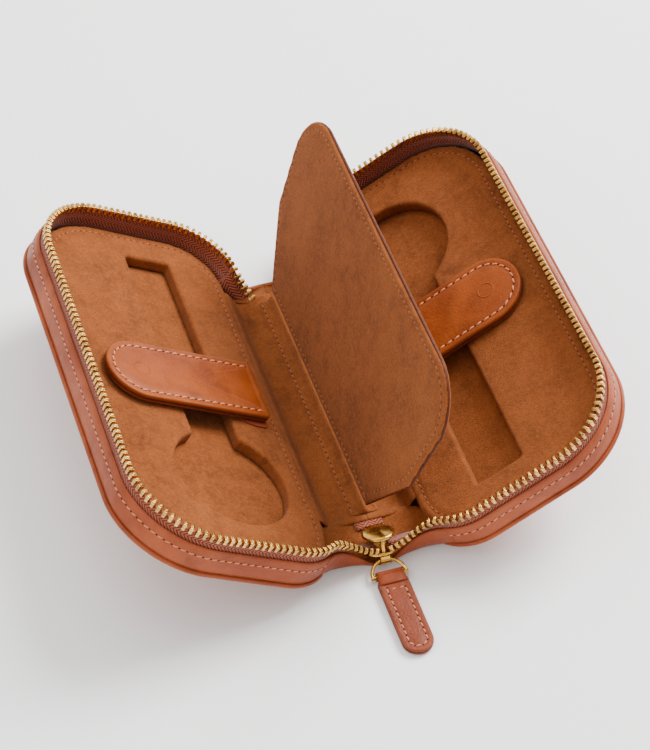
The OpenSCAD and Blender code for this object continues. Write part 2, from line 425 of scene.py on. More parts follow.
def ball_template(half, wide, high, sag, rings=7, sides=8):
    """A small ellipsoid whose ends drop by sag, as a stitch's thread does."""
    verts = [(-half, 0, -sag)]
    for i in range(1, rings):
        a = math.pi * i / rings
        x = -half * math.cos(a)
        for j in range(sides):
            b = 2 * math.pi * j / sides
            verts.append((x, wide * math.sin(a) * math.cos(b),
                          high * math.sin(a) * math.sin(b) - sag * (x / half) ** 2))
    verts.append((half, 0, -sag))
    faces = [(0, 1 + (j + 1) % sides, 1 + j) for j in range(sides)]
    for i in range(rings - 2):
        for j in range(sides):
            a, b = 1 + i * sides + j, 1 + i * sides + (j + 1) % sides
            faces.append((a, b, b + sides, a + sides))
    last = len(verts) - 1
    for j in range(sides):
        faces.append((last, last - sides + j, last - sides + (j + 1) % sides))
    return np.array(verts), faces


STITCH = ball_template(1.0, 0.27, 0.24, 0.22)
# Template of a needle hole's dark mark, which carries painted shade.
HOLE_SHADE = ball_template(0.36, 0.30, 0.12, 0.0, rings=4, sides=6)


def sewn(name, line, normals, body, spacing=2.9, size=1.0, lean=0.22, look=None):
    """A row of stitches on a surface: thread, and dark marks of painted shade for the needle holes between.
    """
    line = np.asarray(line, float)
    at, way, share = along_line(line, spacing)
    normals = np.asarray(normals, float)
    if normals.ndim == 1:
        up = np.tile(normals, (len(at), 1))
    else:
        d = lengths(line)
        up = sampled(share * d[-1], d, normals)
    up = square_to(up, way)
    tilt = unit(way + lean * np.cross(up, way))
    axes = np.stack([tilt, np.cross(up, tilt), up], 1)
    template = STITCH[0] * np.array([spacing / 2.9, 1, 1]) * size
    verts, faces = stamped(template, STITCH[1], at + up * 0.12 * size, axes)
    piece(name, verts, faces, look or thread, body, fix=False)
    between = at + way * spacing / 2
    # Painted shade: dark marks between the stitches stand for the shade inside the needle holes.
    verts, faces = stamped(HOLE_SHADE[0] * size, HOLE_SHADE[1], between + up * 0.02, axes)
    piece(name + "_hole_shade", verts, faces, needle_hole_shade, body, fix=False)


def evaluated(obj):
    """The object's mesh with its modifiers applied; the modifiers are removed."""
    graph = bpy.context.evaluated_depsgraph_get()
    graph.update()
    data = bpy.data.meshes.new_from_object(obj.evaluated_get(graph))
    obj.modifiers.clear()
    obj.data = data
    return data


def thicken(obj, thick_mm, offset):
    """Gives a single sheet its thickness in real faces."""
    shell = obj.modifiers.new("thickness", "SOLIDIFY")
    shell.thickness = thick_mm * MM
    shell.offset = offset
    evaluated(obj)
    face_outward(obj.data)


def coords(data):
    co = np.zeros(len(data.vertices) * 3)
    data.vertices.foreach_get("co", co)
    return co.reshape(-1, 3)


def set_coords(data, co):
    data.vertices.foreach_set("co", np.asarray(co, np.float32).ravel())
    data.update()


def prism(name, loop, z0, z1):
    """A plain closed prism over an outline, in millimetres, for pads to start from."""
    n = len(loop)
    verts = [(*p, z) for z in (z0, z1) for p in loop]
    faces = [tuple(range(n))[::-1], tuple(range(n, 2 * n))]
    faces += [(i, (i + 1) % n, n + (i + 1) % n, n + i) for i in range(n)]
    data = bpy.data.meshes.new(name)
    data.from_pydata(verts, [], faces)
    obj = placed(name, data)
    face_outward(data)
    return obj


def pad(name, loop, z0, z1, voxel, soften, cap, hole=None):
    """A stuffed pad in local millimetres: a slightly smaller prism is remeshed,
    softened and blown up as cloth. No point moves more than cap."""
    obj = prism(name, loop, z0, z1)
    if hole is not None:
        cutter = prism(name + "_cut", hole, z0 - 3, z1 + 3)
        cut = obj.modifiers.new("cut", "BOOLEAN")
        cut.object = cutter
        cut.solver = "EXACT"
        evaluated(obj)
        bpy.data.objects.remove(cutter)
    remesh = obj.modifiers.new("remesh", "REMESH")
    remesh.mode = "VOXEL"
    remesh.voxel_size = voxel
    evaluated(obj)
    smooth = obj.modifiers.new("smooth", "SMOOTH")
    smooth.iterations = soften
    smooth.factor = 0.5
    data = evaluated(obj)
    if cap > 0:
        data.transform(Matrix.Scale(MM, 4))
        before = coords(data)
        cloth = obj.modifiers.new("cloth", "CLOTH")
        settings = cloth.settings
        settings.use_pressure = True
        settings.uniform_pressure_force = 4
        settings.quality = 4
        settings.mass = 0.2
        settings.tension_stiffness = 12
        settings.compression_stiffness = 12
        settings.bending_stiffness = 1.0
        settings.effector_weights.gravity = 0
        scene = bpy.context.scene
        for f in range(1, 21):
            scene.frame_set(f)
        after = coords(evaluated(obj))
        scene.frame_set(1)
        moved = (after - before) / MM
        moved = np.nan_to_num(moved)
        far = np.linalg.norm(moved, axis=1, keepdims=True)
        moved *= np.minimum(1, cap / np.maximum(far, 1e-9))
        data = obj.data
        set_coords(data, before / MM + moved)
    relax = obj.modifiers.new("relax", "SMOOTH")
    relax.iterations = 3
    relax.factor = 0.5
    evaluated(obj)
    return obj


def distance_to(line, points):
    """Distance of each 2-D point to a dense line of points."""
    out = np.full(len(points), 1e9)
    for chunk in range(0, len(points), 4000):
        part = points[chunk:chunk + 4000]
        gap = np.linalg.norm(part[:, None, :] - line[None, :, :], axis=2)
        out[chunk:chunk + 4000] = gap.min(1)
    return out


def pressed(obj, line, depth, width, above):
    """Sinks a sewn channel into a pad's upper face along a 2-D line."""
    co = coords(obj.data)
    near = np.exp(-(distance_to(line, co[:, :2]) / width) ** 2)
    near[co[:, 2] < above] = 0
    co[:, 2] -= depth * near
    set_coords(obj.data, co)


def crisp_hole(obj, hole, top, floor, radius=0.9, fade=(1.8, 3.4)):
    """Draws a pad's softened hole back onto its outline, with a small round edge."""
    pts, nrm = hole
    co = coords(obj.data)
    near = np.where(distance_to(pts, co[:, :2]) < fade[1] + 1)[0]
    gap = co[near, None, :2] - pts[None]
    k = np.linalg.norm(gap, axis=2).argmin(1)
    away = -nrm[k]
    out = (gap[np.arange(len(near)), k] * away).sum(1)
    high = co[near, 2]
    a = radius - out
    b = high - (top - radius)
    goal_out, goal_high = out.copy(), high.copy()
    corner = (a > 0) & (b > 0)
    size = np.maximum(np.hypot(a, b), 1e-6)
    goal_out[corner] = (radius - a / size * radius)[corner]
    goal_high[corner] = (top - radius + b / size * radius)[corner]
    wall = (a > 0) & ~corner & (high > floor + 0.4)
    goal_out[wall] = 0
    flat = (a <= 0) & (b > 0)
    goal_high[flat] = top
    share = np.clip((fade[1] - out) / (fade[1] - fade[0]), 0, 1)
    share[wall & (out < -1.5)] = 0
    co[near, :2] += away * (share * (goal_out - out))[:, None]
    co[near, 2] += share * (goal_high - high)
    set_coords(obj.data, co)


def surface_height(obj, line, from_z):
    """Height of an object's upper face above each 2-D point."""
    tree = BVHTree.FromPolygons([v.co for v in obj.data.vertices],
                                [tuple(p.vertices) for p in obj.data.polygons])
    high = []
    for x, y in line:
        hit = tree.ray_cast(Vector((x, y, from_z)), Vector((0, 0, -1)))[0]
        high.append(hit.z if hit is not None else (high[-1] if high else 0.0))
    return np.array(high)


def settle(obj, shape, material, body, stands_for):
    """Turns a pad from local millimetres into the frame and gives it its place."""
    set_coords(obj.data, shape(coords(obj.data)) * MM)
    face_outward(obj.data)
    obj.data.materials.clear()
    obj.data.materials.append(material)
    obj.data.polygons.foreach_set("use_smooth", [True] * len(obj.data.polygons))
    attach(obj, body)
    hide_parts(*stands_for)


# ----------------------------------------------------------------- materials
class Shader:
    """A procedural material on the object's own coordinates."""

    def __init__(self, name, **sockets):
        self.mat = bpy.data.materials.new(name)
        self.mat.use_nodes = True
        self.tree = self.mat.node_tree
        self.bsdf = self.tree.nodes["Principled BSDF"]
        self.place = self.tree.nodes.new("ShaderNodeTexCoord").outputs["Object"]
        for key, value in sockets.items():
            self.bsdf.inputs[key.replace("_", " ")].default_value = value

    def node(self, kind, inputs=None, **attrs):
        made = self.tree.nodes.new(kind)
        for key, value in attrs.items():
            setattr(made, key, value)
        for key, value in (inputs or {}).items():
            self.link(value, made.inputs[key])
        return made

    def link(self, value, socket):
        if isinstance(value, bpy.types.NodeSocket):
            self.tree.links.new(value, socket)
        else:
            socket.default_value = value

    def noise(self, scale, detail=3.0, rough=0.55, warp=0.0):
        return self.node("ShaderNodeTexNoise", {
            "Vector": self.place, "Scale": scale, "Detail": detail,
            "Roughness": rough, "Distortion": warp}).outputs["Fac"]

    def cells(self, scale, feature="F1"):
        return self.node("ShaderNodeTexVoronoi", {"Vector": self.place, "Scale": scale},
                         feature=feature).outputs["Distance"]

    def ramp(self, value, low, high, out_low=0.0, out_high=1.0):
        return self.node("ShaderNodeMapRange", {
            "Value": value, "From Min": low, "From Max": high,
            "To Min": out_low, "To Max": out_high}).outputs["Result"]

    def math(self, operation, a, b=0.0):
        made = self.node("ShaderNodeMath", operation=operation)
        self.link(a, made.inputs[0])
        self.link(b, made.inputs[1])
        return made.outputs[0]

    def mix(self, share, a, b, blend_type="MIX"):
        made = self.node("ShaderNodeMix", data_type="RGBA", blend_type=blend_type)
        self.link(share, made.inputs["Factor"])
        self.link(a, made.inputs["A"])
        self.link(b, made.inputs["B"])
        return made.outputs["Result"]

    def bump(self, height, strength, distance, before=None):
        inputs = {"Height": height, "Strength": strength, "Distance": distance}
        if before is not None:
            inputs["Normal"] = before
        return self.node("ShaderNodeBump", inputs).outputs["Normal"]

    def set(self, socket, value):
        self.link(value, self.bsdf.inputs[socket])
        return self


def rgb(r, g, b):
    """An 8-bit sRGB colour as linear values."""
    def linear(c):
        c /= 255
        return c / 12.92 if c <= 0.04045 else ((c + 0.055) / 1.055) ** 2.4
    return (linear(r), linear(g), linear(b), 1.0)


def leather_look(name, light, mid, dark, rough=0.42, grain=1.0):
    """Smooth tanned leather: fine pebble grain, cloudy dye, a soft waxed gloss."""
    s = Shader(name, Specular_IOR_Level=0.13, Coat_Weight=0.02, Coat_Roughness=0.35)
    cloud = s.ramp(s.noise(28, 4, 0.6, 0.4), 0.35, 0.68)
    colour = s.mix(cloud, mid, light)
    blotch = s.ramp(s.noise(95, 5, 0.6), 0.52, 0.78, 0.0, 0.55)
    colour = s.mix(blotch, colour, dark)
    pores = s.ramp(s.cells(1050), 0.0, 0.55)
    colour = s.mix(s.ramp(pores, 0.0, 0.4, 0.38, 0.0), colour, dark)
    s.set("Base Color", colour)
    s.set("Roughness", s.ramp(s.noise(260, 4), 0.3, 0.7, rough - 0.07, rough + 0.10))
    wrinkle = s.bump(s.noise(190, 3, 0.5, 0.6), 0.18 * grain, 0.0006)
    fine = s.bump(pores, 0.32 * grain, 0.00022, wrinkle)
    s.set("Normal", s.bump(s.noise(3600, 2), 0.12, 0.0001, fine))
    return s.mat


def suede_look(name, light, mid, dark, sheen=0.16):
    """Napped suede: patches brushed light and dark, over a very fine fibre."""
    s = Shader(name, Roughness=0.94, Specular_IOR_Level=0.12,
               Sheen_Weight=sheen, Sheen_Roughness=0.45, Sheen_Tint=(1.0, 0.72, 0.46, 1.0))
    broad = s.ramp(s.noise(17, 3, 0.55, 0.9), 0.32, 0.70)
    patch = s.ramp(s.noise(62, 5, 0.62, 0.7), 0.34, 0.68)
    brushed = s.ramp(s.noise(210, 4, 0.6, 0.3), 0.36, 0.66)
    colour = s.mix(broad, mid, light)
    colour = s.mix(s.math("MULTIPLY", patch, 0.55), colour, dark)
    colour = s.mix(s.math("MULTIPLY", brushed, 0.45), colour, light)
    fibre = s.noise(1900, 4, 0.75)
    colour = s.mix(s.ramp(fibre, 0.42, 0.64, 0.0, 0.55), colour, dark)
    colour = s.mix(s.ramp(s.noise(620, 3, 0.7), 0.45, 0.68, 0.0, 0.42), colour, light)
    s.set("Base Color", colour)
    nap = s.bump(s.noise(150, 4), 0.25, 0.0007)
    s.set("Normal", s.bump(fibre, 1.0, 0.0006, nap))
    return s.mat


def tape_look():
    """Herringbone weave from (along, across) in millimetres."""
    s = Shader("herringbone_tape", Roughness=0.85, Specular_IOR_Level=0.2,
               Sheen_Weight=0.2, Sheen_Roughness=0.5)
    split = s.node("ShaderNodeSeparateXYZ", {"Vector": s.node("ShaderNodeUVMap").outputs["UV"]})
    along, across = split.outputs["X"], split.outputs["Y"]
    zig = s.math("PINGPONG", across, 2.2)
    twill = s.math("SINE", s.math("MULTIPLY", s.math("ADD", along, zig), 2 * math.pi / 1.35))
    ribs = s.ramp(twill, -0.8, 0.9)
    turn = s.math("ABSOLUTE", s.math("SUBTRACT", s.math("MULTIPLY", zig, 1 / 1.1), 1.0))
    groove = s.ramp(turn, 0.8, 1.0, 0.0, 0.45)
    colour = s.mix(ribs, rgb(92, 34, 18), rgb(178, 88, 54))
    colour = s.mix(groove, colour, rgb(70, 30, 18))
    colour = s.mix(s.ramp(s.noise(1400), 0.4, 0.7, 0.0, 0.35), colour, rgb(96, 46, 30))
    s.set("Base Color", colour)
    s.set("Normal", s.bump(s.noise(4200), 0.2, 0.0001, s.bump(ribs, 0.7, 0.0004)))
    return s.mat


def brass_look(name, light, dark, rough=0.24):
    """Antique brass: bright where it rubs, darker and duller in patches."""
    s = Shader(name, Metallic=1.0)
    patch = s.ramp(s.noise(160, 3, 0.5, 0.3), 0.40, 0.80)
    s.set("Base Color", s.mix(patch, light, dark))
    scratch = s.noise(2600, 4, 0.7)
    s.set("Roughness", s.ramp(s.noise(900, 4), 0.3, 0.75, rough - 0.06, rough + 0.16))
    s.set("Normal", s.bump(scratch, 0.04, 0.00003))
    return s.mat


def thread_look(name, light, dark):
    s = Shader(name, Roughness=0.55, Sheen_Weight=0.2)
    strands = s.noise(2600, 3, 0.6)
    s.set("Base Color", s.mix(strands, light, dark))
    s.set("Normal", s.bump(strands, 0.5, 0.0002))
    return s.mat


def dark_look(name, colour, rough=0.6):
    """Burnished edge paint, or the shade in a needle hole."""
    s = Shader(name, Specular_IOR_Level=0.12)
    uneven = s.noise(700, 4)
    s.set("Base Color", s.mix(s.ramp(uneven, 0.35, 0.7, 0.0, 0.5), colour, (0.012, 0.005, 0.003, 1)))
    s.set("Roughness", s.ramp(uneven, 0.3, 0.7, rough - 0.1, rough + 0.15))
    s.set("Normal", s.bump(uneven, 0.2, 0.0002))
    return s.mat


def board_look():
    s = Shader("grey_board", Roughness=0.9)
    s.set("Base Color", s.mix(s.noise(900, 4), rgb(112, 82, 56), rgb(80, 56, 38)))
    s.set("Normal", s.bump(s.noise(2500, 3), 0.3, 0.0002))
    return s.mat


tan = leather_look("tan_leather", rgb(164, 82, 48), rgb(132, 59, 32), rgb(84, 34, 17))
strap_tan = leather_look("strap_leather", rgb(152, 72, 20), rgb(122, 52, 12), rgb(70, 25, 6), 0.40)
pull_tan = leather_look("pull_leather", rgb(136, 66, 42), rgb(108, 48, 29), rgb(68, 28, 16), 0.45, 2.2)
inner_tan = leather_look("lining_leather", rgb(138, 62, 32), rgb(108, 44, 23), rgb(70, 27, 14), 0.5)
suede = suede_look("tan_suede", rgb(164, 90, 42), rgb(138, 70, 29), rgb(76, 35, 14), 0.10)
shade_suede = suede_look("recess_suede", rgb(166, 92, 44), rgb(140, 73, 31), rgb(76, 35, 14), 0.08)
tape_mat = tape_look()
brass = brass_look("antique_brass", rgb(214, 166, 78), rgb(186, 138, 58), 0.16)
teeth_brass = brass_look("tooth_brass", rgb(222, 178, 98), rgb(128, 84, 34), 0.22)
snap_brass = brass_look("snap_brass", rgb(214, 180, 116), rgb(160, 124, 66), 0.32)
thread = thread_look("waxed_thread", rgb(226, 144, 96), rgb(180, 96, 56))
suede_thread = thread_look("brown_thread", rgb(178, 98, 52), rgb(124, 62, 30))
# Painted shade: the dark colour of the needle-hole marks stands for the shade inside the holes.
needle_hole_shade = dark_look("needle_hole_shade", rgb(58, 22, 12), 0.8)
edge_paint = dark_look("edge_paint", rgb(84, 36, 18), 0.45)
board = board_look()


# --------------------------------------------------------------------- trays
NEAR_A = 50.0
FAR_A = 8.0
LIP = 2.0


def tray_shell(side, name):
    """Back panel with its turned lip, side wall, tape, teeth and their stitches."""
    body = name + "_tray"
    shape = lambda p: tray(side, p)
    outline = tray_outline()
    back = [(-LIP + 1.6, -0.05), (-LIP + 0.7, 0.0), *rounded(0.05, 1.75, 0.8, -LIP), (-LIP + 1.2, 1.7)]
    slab(name + "_back_panel", outline, back, shape, tan, body, "outer_leather", [name + "_back_leather"],
         inner=(0.985, 0.96, 0.85, 0.65, 0.4, 0.18), crown=(-0.5, 0.0))
    path = rim(NEAR_A, FAR_A)
    outer = [(-1.0, 1.5), (-1.35, 3.0), (-1.5, 5.2), (-1.45, 7.6), (-1.3, 9.6), (-1.15, 10.9)]
    roll = [(-0.85, 11.5), (-0.45, 11.65), (-0.15, 11.45), (-0.05, 10.8)]
    inner = [(-0.02, 7.0), (-0.02, 1.5)]
    verts, faces, _ = swept(path, outer + roll + inner, shape)
    piece(name + "_side_wall", verts, faces, tan, body, [name + "_gusset"])
    verts, faces, uv = swept(path, [(0.05, 4.0), (0.02, 8.0), (0.0, TEETH_Z), (0.1, TEETH_Z + 0.5),
                                    (0.7, TEETH_Z + 0.5), (0.8, TEETH_Z), (0.8, 8.0), (0.8, 4.0)], shape)
    piece(name + "_tape", verts, faces, tape_mat, body, [name + "_zip_tape"], uv)
    pts, nrm = path
    line = tray(side, np.column_stack([pts - 1.36 * nrm, np.full(len(pts), 8.3)]))
    out = tray(side, np.column_stack([pts - 2.36 * nrm, np.full(len(pts), 8.4)])) - line
    sewn(name + "_wall_stitches", line, out, body)
    row = np.column_stack([pts + 0.4 * nrm, np.full(len(pts), TEETH_Z)])
    up = tray_way(side, 0, 0, 1.0)
    centre = tray(side, row)
    tooth_row(name + "_teeth", centre, np.tile(up, (len(pts), 1)), body, [name + "_zip_teeth"])


def rounded_box(lo, hi, bevel=0.22):
    """Points and faces of a box with rounded edges."""
    bm = bmesh.new()
    bmesh.ops.create_cube(bm, size=1)
    lo, hi = np.array(lo, float), np.array(hi, float)
    for v in bm.verts:
        v.co = Vector((lo + hi) / 2 + np.array(v.co) * (hi - lo))
    bmesh.ops.bevel(bm, geom=bm.edges[:] + bm.verts[:], offset=bevel, segments=2, profile=0.7, affect="EDGES")
    bm.verts.ensure_lookup_table()
    verts = np.array([v.co[:] for v in bm.verts])
    faces = [tuple(v.index for v in f.verts) for f in bm.faces]
    bm.free()
    return verts, faces


def merged(*parts):
    verts, faces, base = [], [], 0
    for v, f in parts:
        verts.append(v)
        faces.extend(tuple(i + base for i in face) for face in f)
        base += len(v)
    return np.concatenate(verts), faces


# x along the row, y across the tape, z up out of the mouth: a head with a
# hooked nose, and two legs clamped on the tape.
TOOTH = merged(
    rounded_box((-0.68, -1.15, 0.35), (0.68, 1.15, 1.75), 0.3),
    rounded_box((-0.36, -0.75, 1.35), (0.36, 0.75, 2.15), 0.26),
    rounded_box((-0.58, -1.05, -0.8), (0.58, -0.4, 0.7), 0.2),
    rounded_box((-0.58, 0.4, -0.8), (0.58, 1.05, 0.7), 0.2),
)


def tooth_row(name, centre, up, body, stands_for=(), blend=None):
    """Zip teeth at the zip's pitch along a line of points, with up directions."""
    at, way, share = along_line(centre, PITCH)
    d = lengths(centre)
    high = square_to(sampled(share * d[-1], d, up), way)
    axes = np.stack([way, np.cross(high, way), high], 1)
    verts, faces = stamped(TOOTH[0], TOOTH[1], at, axes)
    obj = piece(name, verts, faces, teeth_brass, body, stands_for)
    if blend:
        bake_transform(obj)


def bezier(p0, p1, p2, p3, n):
    t = np.linspace(0, 1, n)[:, None]
    return (1 - t) ** 3 * p0 + 3 * t * (1 - t) ** 2 * p1 + 3 * t * t * (1 - t) * p2 + t ** 3 * p3


def soft_end(side, name, end):
    """The soft end of the zip between a tray's firm wall and the spine: teeth,
    tape and a leather web below them. end is -1 at the slider, 1 at the far end."""
    pts, nrm = rim(NEAR_A, FAR_A)
    k = 0 if end < 0 else -1
    step = 1 if end < 0 else -2
    edge, inward = pts[k], nrm[k]
    back = pts[k] - pts[step]
    back = back / np.linalg.norm(back)
    flip = np.array([side, 1, 1])

    def at(g, z):
        return tray(1, np.array([*(edge + g * inward), z]))

    way = tray_way(1, *back, 0.0)
    down = -tray_way(1, 0, 0, 1.0)
    n = 22
    if end < 0:
        mouth_y, mouth_z = RUN_Y - RUN_R * math.sin(SLIDER_A), RUN_Z - RUN_R * math.cos(SLIDER_A)
        goal = np.array([1.6, mouth_y - 4.2, mouth_z + 1.0])
        goal_way = np.array([-0.97, 0.15, -0.10])
        low_goal, top_goal = np.array([0.0, -75.0, 0.50]), np.array([0.0, -75.8, 0.62])
        deep_goal = np.array([0.0, -57.0, 0.70])
        side_way = np.array([0.35, 0.90, -0.25])
    else:
        goal, goal_way = np.array([7.0, 57.5, 3.4]), np.array([-0.45, -0.75, -0.45])
        low_goal, top_goal = np.array([0.0, 66.0, 0.55]), np.array([0.0, 66.8, 1.4])
        deep_goal = np.array([0.0, 57.0, 0.70])
        side_way = np.array([1.0, 0.0, -0.12])
    start = at(0.4, TEETH_Z)
    reach = np.linalg.norm(goal - start)
    chain = bezier(start, start + way * reach * 0.25, goal - goal_way * reach * 0.30, goal, n)
    t = np.linspace(0, 1, n)[:, None]
    ease = t * t * (3 - 2 * t)
    hang = down * (1 - ease) + side_way * ease
    along = unit(np.gradient(chain, axis=0))
    hang = square_to(hang, along)
    thick = np.cross(hang, along)
    joint_ends = ((side * 0.004, end * 0.066, 0.003), (side * 0.0165, end * 0.074, 0.014))
    blend = ("spine", name + "_tray", *joint_ends)
    where = "_near" if end < 0 else "_far"
    tooth_row(name + where + "_teeth", chain * flip, -hang * flip, None, (), blend)
    wide = (11.4 * (1 - ease) + 5.0 * ease)[:, 0]
    ring = [(-0.4, -0.5), (0.4, -0.5), (0.38, 0.5), (0.3, 1.0), (-0.3, 1.0), (-0.38, 0.5)]
    verts = []
    for i in range(n):
        for a, b in ring:
            verts.append(chain[i] + thick[i] * a + hang[i] * (b * wide[i] if b > 0 else b))
    faces = grid_faces(n, len(ring), wrap_cols=True) + end_caps(n, len(ring))
    spread = lengths(chain)
    uv = [(spread[i], TEETH_Z - max(b, 0) * wide[i]) for i in range(n) for _, b in ring]
    obj = piece(name + where + "_tape", np.array(verts) * flip, faces, tape_mat, None, (), uv)
    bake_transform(obj)
    low_start, top_start = at(-0.55, 1.3), at(-0.65, WALL_TOP - 0.2)
    overlap = way * 1.2
    reach = np.linalg.norm(low_goal - low_start)
    low_line = bezier(low_start - overlap, low_start + way * reach * 0.55,
                      low_goal + [reach * 0.30, 0, 0], low_goal, n)
    top_line = bezier(top_start - overlap, top_start + way * reach * 0.55,
                      top_goal + [reach * 0.25, end * 0.6, 0], top_goal, n)
    fold = tray(1, np.array([0.5, end * 58.0, 1.7]))
    deep_line = bezier(at(14.0, 1.7), fold, fold, deep_goal, n)
    wall_out = tray_way(1, *(-inward), 0.0)
    outward = wall_out * 0.5 * (1 - ease) + np.array([0.0, end, -0.25]) * 0.5 * ease
    inside = np.array([0.0, -end * 0.9, 0.55])

    def skin(label, low_shift, high_shift, deep, top_share, look, thick_mm):
        floor_rows, rows = 7, 9
        grid = []
        for i in range(n):
            low, top = low_line[i] + low_shift, top_line[i] + high_shift
            for j in range(floor_rows):
                b = j / floor_rows
                grid.append(deep[i] * (1 - b) + low * b)
            for j in range(rows):
                b = top_share * j / (rows - 1)
                grid.append(low * (1 - b) + top * b + outward[i] * math.sin(math.pi * b))
        web = piece(name + where + label, np.array(grid) * flip, grid_faces(n, rows + floor_rows),
                    look, None)
        thicken(web, thick_mm, 0)
        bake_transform(web)

    skin("_leather", np.zeros(3), np.zeros(3), deep_line, 1.0, tan, 1.0)
    lining_deep = bezier(at(5.0, 6.2), tray(1, np.array([3.5, end * 58.0, 5.6])),
                         tray(1, np.array([1.5, end * 56.0, 4.2])), np.array([0.0, end * 56.0, 2.9]), n)
    skin("_lining", inside, inside * 0.9, lining_deep, 0.8, suede, 0.5)


# ------------------------------------------------------------------- inserts
def insert(side, name, made):
    """Padded insert with its keyhole recess, perimeter seam and recess floor."""
    body = name + "_tray"
    shape = lambda p: tray(side, p)
    outline = tray_outline()
    flip = np.array([1, side])
    inset = outline[0] + 1.9 * outline[1]
    seam = outline[0] + 5.4 * outline[1]
    dense = finer(seam)
    if made is None:
        hole = keyhole(1)
        made = pad("insert_form", inset, FLOOR_Z - 0.1, PAD_TOP - 0.2, 0.95, 1, 0.45, hole[0])
        crisp_hole(made, hole, PAD_TOP + 0.05, FLOOR_Z)
        pressed(made, dense, 0.42, 0.9, PAD_TOP - 1.6)
    obj = placed(name + "_insert", made.data.copy())
    co = coords(obj.data)
    co[:, 1] *= side
    set_coords(obj.data, co)
    loop = np.concatenate([seam, seam[:1]]) * flip
    high = surface_height(obj, loop, PAD_TOP + 5)
    line = tray(side, np.column_stack([loop, high]))
    up = tray_way(side, 0, 0, 1.0)
    sewn(name + "_insert_stitches", line, up, body, spacing=2.7, size=0.8, look=suede_thread)
    settle(obj, shape, suede, body, [name + "_insert_suede", name + "_insert_foam"])
    floor_run = keyhole(side, 3.0)
    slab(name + "_recess_floor", floor_run, [(0, 3.2), (0, FLOOR_Z + 0.02)], shape, shade_suede, body,
         "recess_suede", [name + "_recess_lining"], inner=(0.9, 0.6, 0.3), crown=(0, -0.15))
    return made


# -------------------------------------------------------------------- straps
def strap(side, name):
    """Hold-down strap: stitched top leather, lining, and the base leaf it folds from."""
    body = name + "_strap"
    shape = lambda p: tray(side, p)
    half = STRAP_W / 2
    top_z = STRAP_Z + 1.6
    run = stadium(STRAP_ROOT - 1.5, STRAP_TIP, half)
    channel = [(1.5, top_z + 0.05), (2.1, top_z - 0.12), (2.6, top_z - 0.2),
               (3.1, top_z - 0.12), (3.9, top_z + 0.08)]
    slab(name + "_strap_leather", run, rounded(STRAP_Z - 0.15, top_z, 0.75) + channel, shape, strap_tan,
         body, "outer_leather", [name + "_strap_top"], inner=(0.85, 0.5, 0.2), crown=(0, 0.1))
    run = stadium(STRAP_ROOT - 1.2, STRAP_TIP - 0.15, half - 0.12)
    slab(name + "_strap_under", run, rounded(STRAP_Z - 1.65, STRAP_Z - 0.1, 0.6), shape, inner_tan,
         body, "inner_leather", [name + "_strap_lining"], inner=(0.9, 0.5, 0.2))
    run = stadium(STRAP_ROOT - 1.35, STRAP_TIP - 0.05, half - 0.04)
    rim_line = [(0.0, STRAP_Z - 0.35), (-0.05, STRAP_Z - 0.1), (0.0, STRAP_Z + 0.15)]
    slab(name + "_strap_edge", run, rim_line, shape, edge_paint, body, inner=(0.5,))
    up = tray_way(side, 0, 0, 1.0)
    g = 2.6
    tip = STRAP_TIP - half
    around = joined(
        straight((STRAP_ROOT + 0.8, -half + g), (tip, -half + g), (0, 1)),
        arc(tip, 0, half - g, -90, 90),
        straight((tip, half - g), (STRAP_ROOT + 0.8, half - g), (0, -1)),
    )[0]
    line = tray(side, np.column_stack([around, np.full(len(around), top_z - 0.16)]))
    sewn(name + "_strap_stitches", line, up, body, spacing=3.1, size=1.15)
    ring = arc(STRAP_TIP - 13.5, 0, 3.0, 0, 360, 0.3)[0]
    edge = [(r, top_z + z) for r, z in ((-0.25, 0.17), (0.0, 0.24), (0.3, 0.17), (0.3, 0.02), (-0.25, 0.02))]
    verts = swept((ring[:-1], (ring - ring.mean(0))[:-1] / -3.0), edge, shape)[0]
    faces = grid_faces(len(ring) - 1, len(edge), wrap_rows=True, wrap_cols=True)
    piece(name + "_strap_impression", verts, faces, strap_tan, body)
    run = stadium(11.7, 30.0, 16.0)
    slab(name + "_strap_foot", run, rounded(PAD_TOP - 0.1, PAD_TOP + 0.95, 0.45), shape, inner_tan,
         name + "_tray", "inner_leather", [name + "_strap_base"], inner=(0.8, 0.4))


# ---------------------------------------------------------- spine and divider
def spine_parts():
    """Outer leather and suede lining of the spine, in halves whose sections curve round the folds."""
    for side, name in ((1, "right"), (-1, "left")):
        flip = np.array([side, 1, 1])
        # Outer leather: flat under the spine, round the fold, onto the back panel.
        section = [(0.0, 0.47), (7.0, 0.48), (12.8, 0.50), (14.8, 0.55),
                   (16.2, 0.70), (17.4, 1.05), (18.6, 1.55), (20.4, 2.45)]
        verts, faces = strip(section, 0.9, SPINE_HALF + 1.5)
        obj = piece(name + "_spine_leather", verts * flip, faces, tan, None,
                    ["spine_leather"] if side > 0 else ())
        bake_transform(obj)
        section = [(0.0, 3.3), (5.0, 3.3), (9.0, 3.25), (12.0, 3.3), (13.6, 3.9), (14.8, 5.4), (15.8, 7.6),
                   (16.6, 9.0), (17.6, 9.9), (19.2, 10.3), (21.2, 11.0)]
        verts, faces = strip(section, 0.8, SPINE_HALF + 1.0, roll=1.0)
        obj = piece(name + "_spine_lining", verts * flip, faces, suede, None,
                    ["spine_lining"] if side > 0 else ())
        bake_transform(obj)


